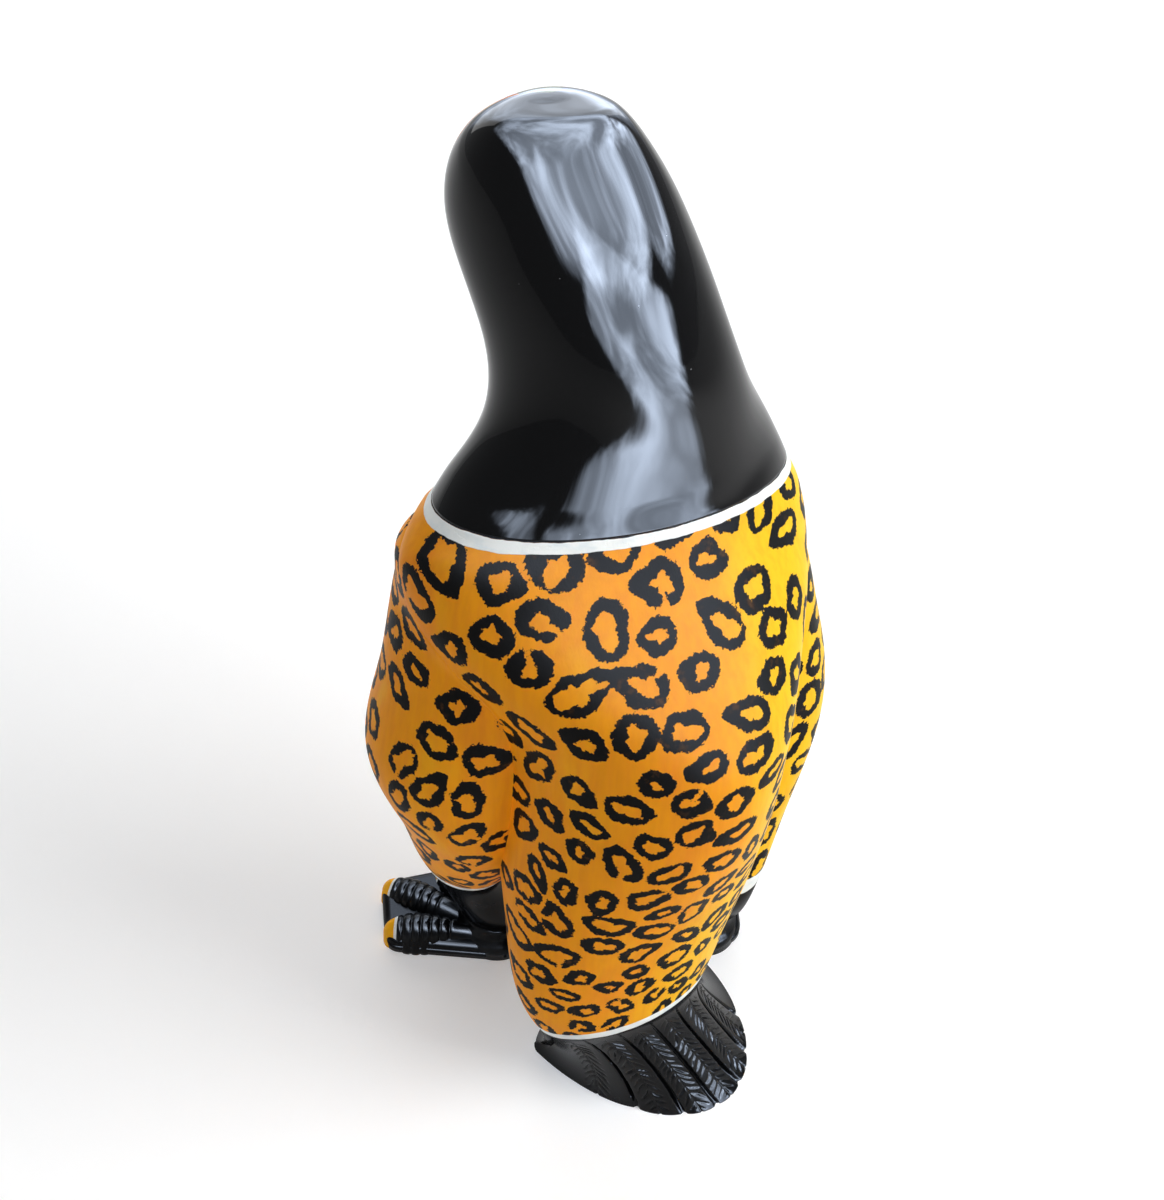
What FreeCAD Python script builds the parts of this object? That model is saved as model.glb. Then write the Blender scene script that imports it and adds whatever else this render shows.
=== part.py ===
import FreeCAD, Part
import math
import os

# A hand-carved, painted wooden bird of the alebrije kind, about 600 mm tall.
# It faces -Y with its left side at +X, and stands on two feet and its tail fan.
# Blocks are glued and doweled: body, head, two legs, two feet, tail and beak.

Vector = FreeCAD.Vector

# ---------------------------------------------------------------------------
# Driving dimensions, in millimetres and degrees
# ---------------------------------------------------------------------------

# Cross-sections of the trunk, from the tail seat up to the crown.
# Each row: centre x, centre y, centre z, half width, half depth, backward tilt.
TRUNK_STATIONS = [
    (16.0, 62.0, 66.0, 55.5, 37.0, 38.0),     # tail seat
    (13.0, 56.0, 115.0, 71.5, 53.0, 32.0),    # rump
    (8.0, 48.0, 180.0, 76.0, 74.0, 26.0),     # belly
    (6.0, 38.0, 250.0, 76.0, 90.0, 16.0),     # breast
    (5.0, 25.0, 315.0, 86.0, 93.0, 8.0),      # hump of the back
    (8.0, 6.0, 368.0, 106.0, 81.0, 4.0),      # shoulders
    (7.0, -3.0, 412.0, 96.0, 62.0, 4.0),      # foot of the neck
    (3.0, -8.0, 455.0, 68.0, 54.0, 10.0),     # neck
    (8.0, -22.0, 500.0, 56.0, 54.0, 16.0),    # nape
    (14.0, -47.0, 538.0, 53.0, 56.0, 20.0),   # head at the eyes
    (18.0, -57.0, 562.0, 45.5, 50.0, 21.0),   # brow
    (20.0, -57.0, 578.5, 35.0, 39.0, 20.0),   # crown
    (21.0, -54.5, 588.0, 21.0, 24.0, 16.0),   # top of the crown
    (21.5, -53.0, 592.5, 7.0, 8.0, 10.0),     # small flat on top
]
TRUNK_SECTIONS = 27          # sections that the trunk is lofted through
NECK_FOOT = 6                # the row at the foot of the neck, where the seam is

# Glue seam between the body block and the head block.
SEAM_HEIGHT = 412.5          # height of the seam plane where x and y are 0
SEAM_SIDE_SLOPE = 3.8        # rise of the plane towards +X
SEAM_BACK_SLOPE = 10.4       # rise of the plane towards +Y

# Legs, from the hidden hip down to the seat on the foot, same row layout.
LEFT_LEG_STATIONS = [
    (85.0, -10.0, 400.0, 25.0, 34.0, 0.0),
    (85.5, -14.0, 350.0, 30.5, 46.0, 0.0),
    (85.0, -13.0, 300.0, 40.0, 54.0, 0.0),
    (88.5, -17.0, 245.0, 45.0, 56.0, 0.0),
    (81.5, -20.0, 190.0, 36.0, 48.0, 0.0),
    (74.0, -30.0, 145.0, 30.0, 38.0, 0.0),
    (66.0, -43.0, 108.0, 24.0, 28.0, 0.0),
    (52.0, -54.0, 62.0, 21.0, 26.0, 0.0),
    (38.0, -64.0, 24.0, 21.0, 27.0, 0.0),
]
RIGHT_LEG_STATIONS = [
    (-74.0, -4.0, 388.0, 15.0, 26.0, 0.0),
    (-82.0, -8.0, 350.0, 29.0, 44.0, 0.0),
    (-85.0, -6.0, 300.0, 41.0, 54.0, 0.0),
    (-88.5, 3.5, 245.0, 45.0, 56.0, 0.0),
    (-81.5, 16.0, 190.0, 36.0, 48.0, 0.0),
    (-74.0, 26.0, 145.0, 30.0, 38.0, 0.0),
    (-66.0, 37.0, 108.0, 24.0, 28.0, 0.0),
    (-78.0, 21.0, 62.0, 21.0, 26.0, 0.0),
    (-86.0, -1.0, 24.0, 21.0, 27.0, 0.0),
]
LEG_SECTIONS = 17

# Feet: a flat web with three half-round toes that end in claws.
LEFT_HEADING = 34.0          # toes point this far outward from -Y
RIGHT_HEADING = 7.0
TOE_SPREAD = 24.0            # angle between neighbouring toes
TOE_ROOT_BACK = 14.0         # the toes spring from behind the middle of the leg seat
TOE_ROOT_OUT = 12.0          # and from this far outward of it
MIDDLE_TOE_REACH = 91.0      # toe root to the tip of the claw
OUTER_TOE_REACH = 79.0
INNER_TOE_REACH = 78.0
TOE_HALF_WIDTH = 12.0
TOE_HEIGHT = 26.0
CLAW_LENGTH = 15.0
# Rows: place along the part, then shares of the toe's half width and height.
TOE_ROWS = [(0.0, 0.9, 0.8), (0.5, 1.0, 1.0), (1.0, 0.95, 0.88)]
CLAW_ROWS = [(0.55, 0.82, 0.72), (0.88, 0.52, 0.5), (1.0, 0.2, 0.3)]
WEB_THICKNESS = 12.0
WEB_SETBACK = 3.0            # the claws overhang the web's edge by this much
HEEL_RADIUS = 14.0
INSTEP_FLARE = 2.0           # the instep is wider than the leg seat, at the web

# Tail fan: from the tail seat down to the ground. After the trunk's columns come
# the turn about Z and the depth of the front half as a share of the back half.
TAIL_STATIONS = [
    (8.0, 55.0, 40.0, 58.0, 52.0, 24.0, 5.0, 0.55),
    (-1.0, 38.0, 15.0, 62.5, 80.0, 8.0, 11.0, 0.3),
    (-5.0, 24.0, 0.0, 66.0, 104.0, 0.0, 13.5, 0.2),
]
TAIL_SECTIONS = 7
FEATHER_COUNT = 6
FEATHER_START = -18.0        # the fan's first feather, as an angle round the section
FEATHER_END = 172.0          # the end of the last feather
FEATHER_RELIEF = 3.0         # depth of the grooves between feathers, at the ground

# Beak, from inside the head out to the tips, same row layout.
UPPER_BEAK_STATIONS = [
    (15.5, -84.0, 538.0, 21.0, 22.0, 96.0),
    (17.5, -104.0, 533.0, 19.0, 20.0, 108.0),
    (19.5, -120.0, 519.0, 14.0, 15.0, 138.0),
    (20.5, -125.0, 501.0, 8.5, 9.0, 168.0),
    (20.5, -121.0, 486.0, 2.5, 2.5, 190.0),
]
LOWER_BEAK_STATIONS = [
    (15.5, -76.0, 504.0, 14.0, 11.0, 98.0),
    (17.5, -92.0, 501.0, 12.5, 9.5, 104.0),
    (19.0, -102.0, 496.0, 8.5, 6.0, 116.0),
    (19.3, -107.0, 492.0, 2.5, 2.0, 126.0),
]
BEAK_SECTIONS = 9

# Dowels: plain round rods, glued into blind holes.
BLOCK_DOWEL_DIAMETER = 12.0
NECK_DOWEL_LENGTH = 76.0
NECK_DOWEL_SPACING = 56.0    # between the two neck dowels, across the seam
TAIL_DOWEL_LENGTH = 52.0
TAIL_DOWEL_SPACING = 44.0
HIP_DOWEL_LENGTH = 56.0
HIP_DOWEL_HEIGHTS = (300.0, 236.0)
ANKLE_DOWEL_DIAMETER = 10.0
ANKLE_DOWEL_LENGTH = 38.0
BEAK_DOWEL_DIAMETER = 6.0
BEAK_DOWEL_LENGTH = 28.0
DOWEL_CLEARANCE = 0.2        # the hole is this much larger in diameter
GLUE_POCKET = 1.0            # the hole is this much deeper at each end

SECTION_POINTS = 24          # points that a section's closed curve passes through
TAIL_SECTION_POINTS = 72
WIDTH_WEIGHT = 0.35          # path length added by each millimetre that the half width changes
BLOCK_SIZE = 2000.0          # half-space blocks used for cutting


# ---------------------------------------------------------------------------
# Lofted blocks
# ---------------------------------------------------------------------------

def smooth_rows(stations, count):
    """Rows at even steps along smooth curves through the stations."""
    steps = [0.0]
    for near, far in zip(stations, stations[1:]):
        run = math.dist(near[:3], far[:3]) + WIDTH_WEIGHT * abs(far[3] - near[3])
        steps.append(steps[-1] + run)
    curves = []
    for column in range(0, len(stations[0]), 3):
        triples = [(row + (0.0,))[column:column + 3] for row in stations]
        curve = Part.BSplineCurve()
        curve.interpolate(Points=[Vector(*triple) for triple in triples], Parameters=steps)
        curves.append(curve)
    rows = []
    for index in range(count):
        step = steps[-1] * index / (count - 1)
        row = [value for curve in curves for value in curve.value(step)]
        rows.append(tuple(row[:len(stations[0])]))
    return rows


def section_wire(row, points=SECTION_POINTS, relief=None):
    """Closed curve: an ellipse across X and a back-tilted axis, with optional relief."""
    x, y, z, half_width, half_depth, tilt = row[:6]
    turn, front_share = row[6:] or (0.0, 1.0)
    swing = FreeCAD.Rotation(Vector(0, 0, 1), turn)
    across = swing.multVec(Vector(1, 0, 0))
    back = swing.multVec(Vector(0, math.cos(math.radians(tilt)), math.sin(math.radians(tilt))))
    ring = []
    for index in range(points):
        angle = 2 * math.pi * index / points
        pull = relief(angle) if relief else 0.0
        depth = half_depth if math.sin(angle) >= 0 else half_depth * front_share
        ring.append(Vector(x, y, z)
                    + across * ((half_width - pull) * math.cos(angle))
                    + back * ((depth - pull) * math.sin(angle)))
    if not relief:
        return smooth_ring(ring)
    half = points // 2
    edges = []
    for side in (ring[:half + 1], ring[half:] + ring[:1]):
        curve = Part.BSplineCurve()
        curve.interpolate(Points=side)
        edges.append(curve.toShape())
    return Part.Wire(edges)


def smooth_ring(ring):
    """Closed smooth curve through a ring of points."""
    curve = Part.BSplineCurve()
    curve.interpolate(Points=ring, PeriodicFlag=True)
    return Part.Wire([curve.toShape()])


def carved_block(stations, count):
    """Solid lofted through smooth sections between the stations."""
    wires = [section_wire(row) for row in smooth_rows(stations, count)]
    return Part.makeLoft(wires, True, False)


def block_above(point, normal):
    """Half-space block whose flat face passes through the point."""
    block = Part.makeBox(BLOCK_SIZE, BLOCK_SIZE, BLOCK_SIZE,
                         Vector(-BLOCK_SIZE / 2, -BLOCK_SIZE / 2, 0))
    block.Placement = FreeCAD.Placement(
        point, FreeCAD.Rotation(Vector(0, 0, 1), normal)).multiply(block.Placement)
    return block


# ---------------------------------------------------------------------------
# Dowels and their holes
# ---------------------------------------------------------------------------

def dowel(middle, axis, diameter, length):
    """Round rod centred on a joint."""
    start = middle - axis * (length / 2)
    return Part.makeCylinder(diameter / 2, length, start, axis)


def dowel_hole(middle, axis, diameter, length):
    """The blind hole for a dowel, with its clearance and glue pockets."""
    return dowel(middle, axis, diameter + DOWEL_CLEARANCE, length + 2 * GLUE_POCKET)


# ---------------------------------------------------------------------------
# Body and head
# ---------------------------------------------------------------------------

def seam_plane():
    """A point on the glue seam above the neck's middle, and the upward normal."""
    side = math.tan(math.radians(SEAM_SIDE_SLOPE))
    back = math.tan(math.radians(SEAM_BACK_SLOPE))
    x, y = TRUNK_STATIONS[NECK_FOOT][:2]
    return Vector(x, y, SEAM_HEIGHT + side * x + back * y), Vector(-side, -back, 1).normalize()


def neck_dowel_middles():
    point, normal = seam_plane()
    across = Vector(0, 1, 0).cross(normal).normalize()
    return [point + across * (sign * NECK_DOWEL_SPACING / 2) for sign in (-1, 1)]


def tail_seat():
    """Centre of the tail seat, and the normal that points into the body."""
    x, y, z, _, _, tilt = TRUNK_STATIONS[0]
    slope = math.radians(tilt)
    return Vector(x, y, z), Vector(0, -math.sin(slope), math.cos(slope))


def tail_dowel_middles():
    point, _ = tail_seat()
    return [point + Vector(sign * TAIL_DOWEL_SPACING / 2, 0, 0) for sign in (-1, 1)]


# ---------------------------------------------------------------------------
# Legs
# ---------------------------------------------------------------------------

def row_at_height(stations, height):
    """Straight-line mix of the two stations on either side of a height."""
    for upper, lower in zip(stations, stations[1:]):
        if upper[2] >= height >= lower[2]:
            share = (upper[2] - height) / (upper[2] - lower[2])
            return [a + (b - a) * share for a, b in zip(upper, lower)]
    raise ValueError("no station at that height")


def hip_dowel_middles(stations, trunk):
    """Where the lines of the hip dowels leave the body's flank."""
    side = math.copysign(1, stations[0][0])
    middles = []
    for height in HIP_DOWEL_HEIGHTS:
        leg = row_at_height(stations, height)
        reach = abs(leg[0]) + leg[3]
        line = Part.makeLine(Vector(0, leg[1], height), Vector(side * reach, leg[1], height))
        inside = line.common(trunk)
        flank = max(abs(vertex.X) for vertex in inside.Vertexes)
        middles.append(Vector(side * flank, leg[1], height))
    return middles


# ---------------------------------------------------------------------------
# Feet
# ---------------------------------------------------------------------------

def hull_of_circles(circles):
    """Closed outline round circles (x, y, radius), in anticlockwise order, in the XY plane."""
    tangents = []
    for index, (x, y, radius) in enumerate(circles):
        far_x, far_y, far_radius = circles[(index + 1) % len(circles)]
        gap = math.hypot(far_x - x, far_y - y)
        turn = math.atan2(far_y - y, far_x - x) - math.acos((radius - far_radius) / gap)
        out = Vector(math.cos(turn), math.sin(turn), 0)
        tangents.append((Vector(x, y, 0) + out * radius,
                         Vector(far_x, far_y, 0) + out * far_radius, turn))
    edges = []
    for index, (start, end, turn) in enumerate(tangents):
        edges.append(Part.makeLine(start, end))
        following, _, next_turn = tangents[(index + 1) % len(tangents)]
        x, y, radius = circles[(index + 1) % len(circles)]
        half = turn + ((next_turn - turn) % (2 * math.pi)) / 2
        top = Vector(x + radius * math.cos(half), y + radius * math.sin(half), 0)
        edges.append(Part.Arc(end, top, following).toShape())
    return Part.Wire(edges)


def toe(reach, start):
    """Toe along +X, from under the instep to the claw's tip, half of it below z = 0."""
    knuckle = reach - CLAW_LENGTH
    rows = [(start + share * (knuckle - start), width, height)
            for share, width, height in TOE_ROWS]
    rows += [(knuckle + share * CLAW_LENGTH, width, height)
             for share, width, height in CLAW_ROWS]
    wires = []
    for along, width, height in rows:
        ring = []
        for index in range(SECTION_POINTS):
            angle = 2 * math.pi * index / SECTION_POINTS
            ring.append(Vector(along, TOE_HALF_WIDTH * width * math.cos(angle),
                               TOE_HEIGHT * height * math.sin(angle)))
        wires.append(smooth_ring(ring))
    return Part.makeLoft(wires, True, False)


def carved_foot(leg_stations, leg, heading, side):
    """Web, instep and toes in one block, flat underneath and fitted round the leg's end."""
    x, y, seat_z, half_width, half_depth, _ = leg_stations[-1]
    toes = [(INNER_TOE_REACH, -TOE_SPREAD), (MIDDLE_TOE_REACH, 0.0),
            (OUTER_TOE_REACH, TOE_SPREAD)]
    circles = [(0, 0, HEEL_RADIUS)]
    blocks = []
    for reach, spread in toes:
        tip = reach - WEB_SETBACK - TOE_HALF_WIDTH
        turn = math.radians(side * spread)
        circles.append((tip * math.cos(turn), tip * math.sin(turn), TOE_HALF_WIDTH))
        bar = toe(reach, TOE_ROOT_BACK)
        bar.rotate(Vector(0, 0, 0), Vector(0, 0, 1), side * spread)
        blocks.append(bar)
    if side < 0:
        circles = circles[:1] + circles[:0:-1]
    web = Part.Face(hull_of_circles(circles)).extrude(Vector(0, 0, WEB_THICKNESS))
    turned = [web] + blocks
    for block in turned:
        block.translate(Vector(-TOE_ROOT_BACK, side * TOE_ROOT_OUT, 0))
        block.rotate(Vector(0, 0, 0), Vector(0, 0, 1), side * heading - 90)
        block.translate(Vector(x, y, 0))
    instep = Part.makeLoft([
        section_wire((x, y, 0, half_width + INSTEP_FLARE, half_depth + INSTEP_FLARE, 0)),
        section_wire((x, y, WEB_THICKNESS, half_width + INSTEP_FLARE,
                      half_depth + INSTEP_FLARE, 0)),
        section_wire((x, y, seat_z, half_width, half_depth, 0))], True, True)
    floor = block_above(Vector(0, 0, 0), Vector(0, 0, -1))
    return instep.fuse(turned).cut([floor, leg]).removeSplitter()


def ankle_dowel_middle(stations):
    x, y, z, _, _, _ = stations[-1]
    return Vector(x, y, z)


# ---------------------------------------------------------------------------
# Tail fan
# ---------------------------------------------------------------------------

def feather_relief(depth):
    """Grooves between the feathers: deep at a feather's edges and nothing on its shaft."""
    start = math.radians(FEATHER_START)
    spread = math.radians(FEATHER_END - FEATHER_START)

    def relief(angle):
        share = ((angle - start) % (2 * math.pi)) / spread
        if share > 1:
            return depth
        return depth * (1 - abs(math.sin(math.pi * FEATHER_COUNT * share)))
    return relief


def tail_fan():
    """Loft from the tail seat to the ground, with the grooves deepening downward."""
    seat = TRUNK_STATIONS[0] + (0.0, 1.0)
    rows = smooth_rows([seat] + TAIL_STATIONS, TAIL_SECTIONS)
    wires = []
    for index, row in enumerate(rows):
        depth = FEATHER_RELIEF * index / (TAIL_SECTIONS - 1)
        wires.append(section_wire(row, TAIL_SECTION_POINTS, feather_relief(depth)))
    return Part.makeLoft(wires, True, False)


# ---------------------------------------------------------------------------
# Beak
# ---------------------------------------------------------------------------

def beak_dowel_place(stations):
    """Middle and axis of the short dowel that pins a half of the beak to the head."""
    root, second = Vector(*stations[0][:3]), Vector(*stations[1][:3])
    return (root + second) * 0.5, (second - root).normalize()


# ---------------------------------------------------------------------------
# Assembly
# ---------------------------------------------------------------------------

def build():
    trunk = carved_block(TRUNK_STATIONS, TRUNK_SECTIONS)
    seam_point, seam_normal = seam_plane()
    above_seam = block_above(seam_point, seam_normal)
    torso = trunk.cut(above_seam)
    head = trunk.common(above_seam)
    tail = tail_fan()
    pieces = {}
    holes = {"torso": [], "head": [], "tail_fan": []}

    for index, middle in enumerate(neck_dowel_middles(), 1):
        size = (middle, seam_normal, BLOCK_DOWEL_DIAMETER, NECK_DOWEL_LENGTH)
        pieces[f"neck_dowel_{index}"] = dowel(*size)
        holes["torso"].append(dowel_hole(*size))
        holes["head"].append(dowel_hole(*size))

    _, tail_normal = tail_seat()
    for index, middle in enumerate(tail_dowel_middles(), 1):
        size = (middle, tail_normal, BLOCK_DOWEL_DIAMETER, TAIL_DOWEL_LENGTH)
        pieces[f"tail_dowel_{index}"] = dowel(*size)
        holes["torso"].append(dowel_hole(*size))
        holes["tail_fan"].append(dowel_hole(*size))

    for name, stations, heading, side in (
            ("left", LEFT_LEG_STATIONS, LEFT_HEADING, 1),
            ("right", RIGHT_LEG_STATIONS, RIGHT_HEADING, -1)):
        leg = carved_block(stations, LEG_SECTIONS).cut(trunk)
        foot = carved_foot(stations, leg, heading, side)
        leg_holes = []
        for index, middle in enumerate(hip_dowel_middles(stations, trunk), 1):
            size = (middle, Vector(1, 0, 0), BLOCK_DOWEL_DIAMETER, HIP_DOWEL_LENGTH)
            pieces[f"{name}_hip_dowel_{index}"] = dowel(*size)
            holes["torso"].append(dowel_hole(*size))
            leg_holes.append(dowel_hole(*size))
        size = (ankle_dowel_middle(stations), Vector(0, 0, 1),
                ANKLE_DOWEL_DIAMETER, ANKLE_DOWEL_LENGTH)
        pieces[f"{name}_ankle_dowel"] = dowel(*size)
        pieces[f"{name}_leg"] = leg.cut(leg_holes + [dowel_hole(*size)])
        pieces[f"{name}_foot"] = foot.cut(dowel_hole(*size))

    upper = carved_block(UPPER_BEAK_STATIONS, BEAK_SECTIONS).cut(trunk)
    lower = carved_block(LOWER_BEAK_STATIONS, BEAK_SECTIONS).cut(trunk)
    for name, block, stations in (("upper", upper, UPPER_BEAK_STATIONS),
                                  ("lower", lower, LOWER_BEAK_STATIONS)):
        size = beak_dowel_place(stations) + (BEAK_DOWEL_DIAMETER, BEAK_DOWEL_LENGTH)
        pieces[f"{name}_beak_dowel"] = dowel(*size)
        holes["head"].append(dowel_hole(*size))
        pieces[f"{name}_beak"] = block.cut(dowel_hole(*size))

    pieces["torso"] = torso.cut(holes["torso"])
    pieces["head"] = head.cut(holes["head"])
    pieces["tail_fan"] = tail.cut(holes["tail_fan"])
    return pieces


def move_to_origin(pieces):
    """Put the middle of the whole figure's footprint over the origin."""
    whole = Part.makeCompound(list(pieces.values())).optimalBoundingBox(False)
    middle = Vector((whole.XMin + whole.XMax) / 2, (whole.YMin + whole.YMax) / 2, 0)
    for shape in pieces.values():
        shape.translate(-middle)
    return middle


def main():
    pieces = build()
    middle = move_to_origin(pieces)
    os.makedirs("parts", exist_ok=True)
    for name, shape in sorted(pieces.items()):
        solids = shape.Solids
        if len(solids) != 1:
            raise ValueError(f"{name} has {len(solids)} solids")
        solids[0].exportStep(f"parts/{name}.step")
        state = "valid" if solids[0].isValid() else "INVALID"
        print(name, state, round(solids[0].Volume / 1000, 1), "cm3")
    whole = Part.makeCompound(list(pieces.values())).optimalBoundingBox(False)
    print("moved by", middle, "box", whole)


main()
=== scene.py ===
import bpy
import numpy as np
from mathutils import Matrix, Vector


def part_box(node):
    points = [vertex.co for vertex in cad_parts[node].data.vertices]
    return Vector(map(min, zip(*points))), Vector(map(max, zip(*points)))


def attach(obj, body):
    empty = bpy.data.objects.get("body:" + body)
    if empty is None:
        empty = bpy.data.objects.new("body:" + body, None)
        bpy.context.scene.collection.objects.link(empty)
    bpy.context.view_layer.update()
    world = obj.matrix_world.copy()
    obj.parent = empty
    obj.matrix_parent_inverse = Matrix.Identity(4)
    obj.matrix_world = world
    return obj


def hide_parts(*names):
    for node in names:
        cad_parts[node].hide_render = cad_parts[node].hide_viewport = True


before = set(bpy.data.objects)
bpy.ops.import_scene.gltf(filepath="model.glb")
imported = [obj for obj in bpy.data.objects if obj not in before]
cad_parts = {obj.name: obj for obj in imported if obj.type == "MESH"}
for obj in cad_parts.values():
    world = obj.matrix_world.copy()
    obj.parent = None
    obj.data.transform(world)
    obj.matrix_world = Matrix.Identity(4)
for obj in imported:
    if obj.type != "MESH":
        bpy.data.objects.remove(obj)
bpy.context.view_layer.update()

# ---------------------------------------------------------------------------
# Body block: one piece of softwood, carved round with knife and rasp, from the seat of the
# tail up to the glue seam at the foot of the neck. Its outside is lofted through cross-sections.
MM = 0.001                   # metres
TRUNK_MARKS = [
    (16.0, 62.0, 64.5, 55.5, 35.6, 22.0),
    (13.0, 56.0, 115.0, 71.5, 53.0, 32.0),
    (8.0, 48.0, 180.0, 76.0, 74.0, 26.0),
    (6.0, 38.0, 250.0, 76.0, 90.0, 16.0),
    (5.0, 25.0, 315.0, 86.0, 93.0, 8.0),
    (8.0, 6.0, 368.0, 106.0, 81.0, 4.0),
    (7.0, -3.0, 412.0, 96.0, 62.0, 4.0),
    (3.0, -8.0, 455.0, 68.0, 54.0, 10.0),
    (8.0, -22.0, 500.0, 56.0, 54.0, 16.0),
    (14.0, -47.0, 538.0, 53.0, 56.0, 20.0),
    (18.0, -57.0, 562.0, 45.5, 50.0, 21.0),
    (20.0, -57.0, 578.5, 36.0, 39.0, 20.0),
    (20.6, -54.5, 587.0, 26.5, 26.5, 16.0),
    (21.0, -53.5, 591.6, 11.5, 10.5, 10.0),
]                            # middle x, y, z, half width, half depth, backward tilt
WIDTH_WEIGHT = 0.35          # path length added by each millimetre that the half width changes
FINE_LEVELS = 700            # sections that a wall is first worked out at
GAUGE_LEVELS = 300           # sections that distances to the trunk are measured from
TRUNK_COLUMNS = 360
BODY_LEVELS = 250
SEAM_HEIGHT = 412.5          # the neck's seam over the marks' origin
SEAM_SIDE_SLOPE = np.tan(np.radians(3.8))
SEAM_BACK_SLOPE = np.tan(np.radians(10.4))
KNIFE_WAVES = 12             # waves that add up to the unevenness of carved wood
ANKLE_X, ANKLE_Y = 38.0, -64.0   # the left ankle's dowel in these marks

dowel_low, dowel_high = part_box("left_ankle_dowel")
dowel_middle = (dowel_low + dowel_high) / (2 * MM)
MOVED = np.array([dowel_middle.x - ANKLE_X, dowel_middle.y - ANKLE_Y, 0.0])   # marks to frame


def smooth_curve(steps, values, at):
    """Values on cubic curves through the marks. Slope and curvature run on through every mark,
    and the two end slopes are those of the cubic through the nearest four marks."""
    gaps = np.diff(steps)
    last = len(steps) - 1
    inner = np.arange(1, last)
    matrix = np.eye(len(steps))
    matrix[inner, inner - 1] = gaps[1:]
    matrix[inner, inner] = 2 * (gaps[:-1] + gaps[1:])
    matrix[inner, inner + 1] = gaps[:-1]
    rises = np.diff(values, axis=0) / gaps[:, None]
    target = np.zeros_like(values)
    target[inner] = 3 * (gaps[1:, None] * rises[:-1] + gaps[:-1, None] * rises[1:])
    target[0] = np.polyfit(steps[:4] - steps[0], values[:4], 3)[-2]
    target[last] = np.polyfit(steps[-4:] - steps[-1], values[-4:], 3)[-2]
    slopes = np.linalg.solve(matrix, target)
    span = np.clip(np.searchsorted(steps, at, side="right") - 1, 0, last - 1)
    gap = gaps[span][:, None]
    t = ((at - steps[span]) / gaps[span])[:, None]
    return ((1 + 2 * t) * (1 - t) ** 2 * values[span] + t * (1 - t) ** 2 * gap * slopes[span]
            + t * t * (3 - 2 * t) * values[span + 1] + t * t * (t - 1) * gap * slopes[span + 1])


def sections(marks, count):
    """Cross-sections at even steps along the curves through the marks, in millimetres."""
    marks = np.array(marks)
    hops = np.linalg.norm(np.diff(marks[:, :3], axis=0), axis=1)
    hops += WIDTH_WEIGHT * np.abs(np.diff(marks[:, 3]))
    steps = np.concatenate([[0.0], np.cumsum(hops)])
    rows = smooth_curve(steps, marks, np.linspace(0, steps[-1], count))
    rows[:, :3] += MOVED
    return rows


def rings(rows, angles):
    """Points[section, angle] = middle + across * half width * cos + back * half depth * sin,
    where across is the X axis and back is the Y axis leaned up by the tilt."""
    tilt = np.radians(rows[:, 5])
    back = np.stack([0 * tilt, np.cos(tilt), np.sin(tilt)], axis=1)
    wide = rows[:, 3, None, None] * np.cos(angles)[None, :, None] * np.array([1.0, 0, 0])
    deep = rows[:, 4, None, None] * np.sin(angles)[None, :, None] * back[:, None]
    return rows[:, None, :3] + wide + deep


def wall_between(fine, low, high, count):
    """Rows of a fine wall, evenly spaced in each column from the level low to the level high."""
    level = low + (high - low) * np.linspace(0, 1, count)[:, None]
    base = np.clip(level.astype(int), 0, len(fine) - 2)
    share = (level - base)[..., None]
    column = np.arange(fine.shape[1])
    return fine[base, column] * (1 - share) + fine[base + 1, column] * share


def outward(wall):
    """Unit normals of a wall: the run round it crossed with the run up it."""
    round_it = np.roll(wall, -1, axis=1) - np.roll(wall, 1, axis=1)
    up_it = np.gradient(wall, axis=0)
    normal = np.cross(round_it, up_it)
    return normal / np.maximum(np.linalg.norm(normal, axis=-1, keepdims=True), 1e-9)


def gap_to(points, rows):
    """How far points lie outside a lofted block: in the block's cross-section through a point,
    the distance from its middle, less the ellipse's radius that way. Rows run upwards."""
    shape = points.shape[:-1]
    points = points.reshape(-1, 3)
    tilt = np.radians(rows[:, 5])
    above = (np.outer(points[:, 2], np.cos(tilt)) - np.outer(points[:, 1], np.sin(tilt))
             - (rows[:, 2] * np.cos(tilt) - rows[:, 1] * np.sin(tilt)))
    base = np.clip((above > 0).sum(axis=1) - 1, 0, len(rows) - 2)
    pick = np.arange(len(points))
    share = above[pick, base] / (above[pick, base] - above[pick, base + 1])
    row = rows[base] + (rows[base + 1] - rows[base]) * np.clip(share, 0, 1)[:, None]
    lean = np.radians(row[:, 5])
    offset = points - row[:, :3]
    side = offset[:, 0]
    deep = offset[:, 1] * np.cos(lean) + offset[:, 2] * np.sin(lean)
    ratio = np.maximum(np.hypot(side / row[:, 3], deep / row[:, 4]), 1e-6)
    return (np.hypot(side, deep) * (1 - 1 / ratio)).reshape(shape)


def knife_marks(points, size, depth, seed):
    """Uneven depth left by hand carving: a sum of waves of about one size in random directions."""
    random = np.random.default_rng(seed)
    ways = random.normal(size=(KNIFE_WAVES, 3))
    ways /= np.linalg.norm(ways, axis=1, keepdims=True)
    waves = ways * (2 * np.pi / (size * random.uniform(0.7, 1.5, (KNIFE_WAVES, 1))))
    phases = random.uniform(0, 6.3, KNIFE_WAVES)
    return depth / 3 * np.sin(points @ waves.T + phases).sum(axis=-1)


def pushed(points, normals, amount):
    """Each point moved out along its normal by an amount."""
    return points + normals * amount[..., None]


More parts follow.
